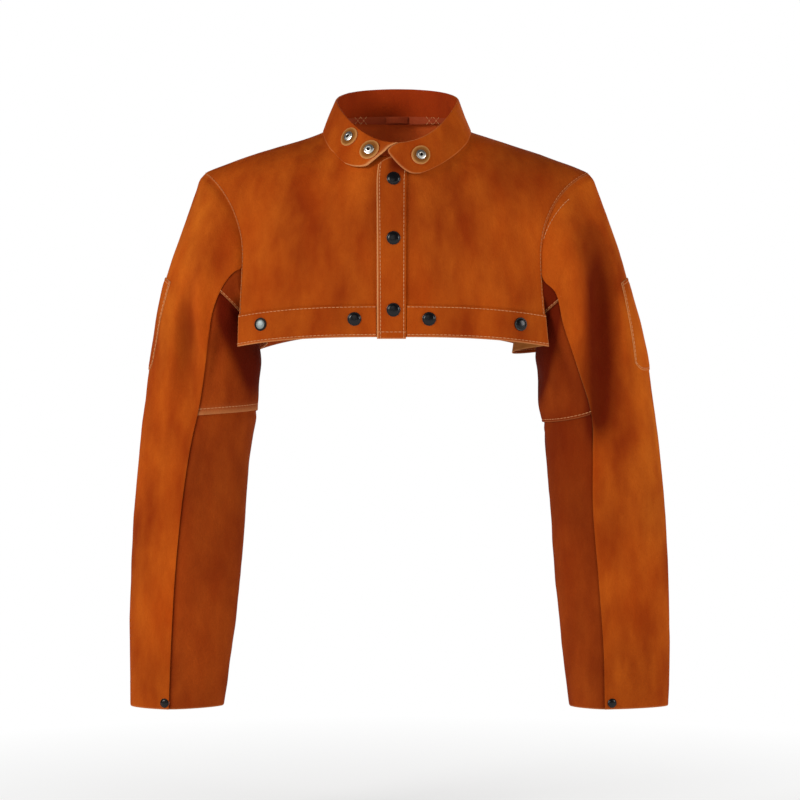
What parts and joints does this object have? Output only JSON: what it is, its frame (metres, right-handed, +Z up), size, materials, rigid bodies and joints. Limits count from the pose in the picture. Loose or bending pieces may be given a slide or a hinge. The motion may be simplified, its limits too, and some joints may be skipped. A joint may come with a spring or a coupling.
{
  "type": "welding jacket",
  "caption": "Cropped split-leather welding jacket with stand collar, snap placket, hem bands, long two-part sleeves and arm pockets, in its worn form.",
  "frame": {"origin": "middle of the neck, at the height of the shoulder seams beside the neck, where the jacket sits on its wearer", "axes": "+X to the wearer's left, +Y to the back, +Z up"},
  "size_m": [0.642, 0.2269, 0.7446],
  "materials": {
    "rust_suede": "matt napped split leather",
    "dark_suede": "matt napped split leather, darker underside",
    "tan_suede": "matt napped split leather, light",
    "black_metal": "black lacquered snap",
    "nickel": "nickel-plated snap"
  },
  "bodies": {
    "root": {"front_panel_left": "rust_suede", "front_panel_right": "rust_suede", "back_panel": "rust_suede", "side_panel_left": "dark_suede", "side_panel_right": "dark_suede", "front_placket": "rust_suede", "hem_band_left": "rust_suede", "hem_band_right": "rust_suede", "sleeve_outer_left": "rust_suede", "underarm_gusset_left": "dark_suede", "sleeve_under_upper_left": "rust_suede", "sleeve_under_fore_left": "rust_suede", "arm_pocket_left": "rust_suede", "sleeve_outer_right": "rust_suede", "underarm_gusset_right": "dark_suede", "sleeve_under_upper_right": "rust_suede", "sleeve_under_fore_right": "rust_suede", "arm_pocket_right": "rust_suede", "collar": "rust_suede", "neck_tape": "dark_suede", "hanger_loop": "dark_suede", "placket_snap_1": "black_metal", "placket_snap_1_back": "nickel", "placket_snap_2": "black_metal", "placket_snap_2_back": "nickel", "placket_snap_3": "black_metal", "placket_snap_3_back": "nickel", "hem_snap_left_1": "black_metal", "hem_snap_left_1_back": "nickel", "hem_snap_left_2": "black_metal", "hem_snap_left_2_back": "nickel", "hem_snap_right_1": "black_metal", "hem_snap_right_1_back": "nickel", "hem_snap_right_2": "nickel", "hem_snap_right_2_back": "nickel", "cuff_snap_left": "black_metal", "cuff_snap_left_back": "nickel", "cuff_snap_right": "black_metal", "cuff_snap_right_back": "nickel", "collar_snap_1": "nickel", "collar_snap_1_back": "nickel", "collar_washer_1": "tan_suede", "collar_snap_2": "nickel", "collar_snap_2_back": "nickel", "collar_washer_2": "tan_suede", "collar_snap_3": "nickel", "collar_snap_3_back": "nickel", "collar_washer_3": "tan_suede"}
  },
  "joints": []
}
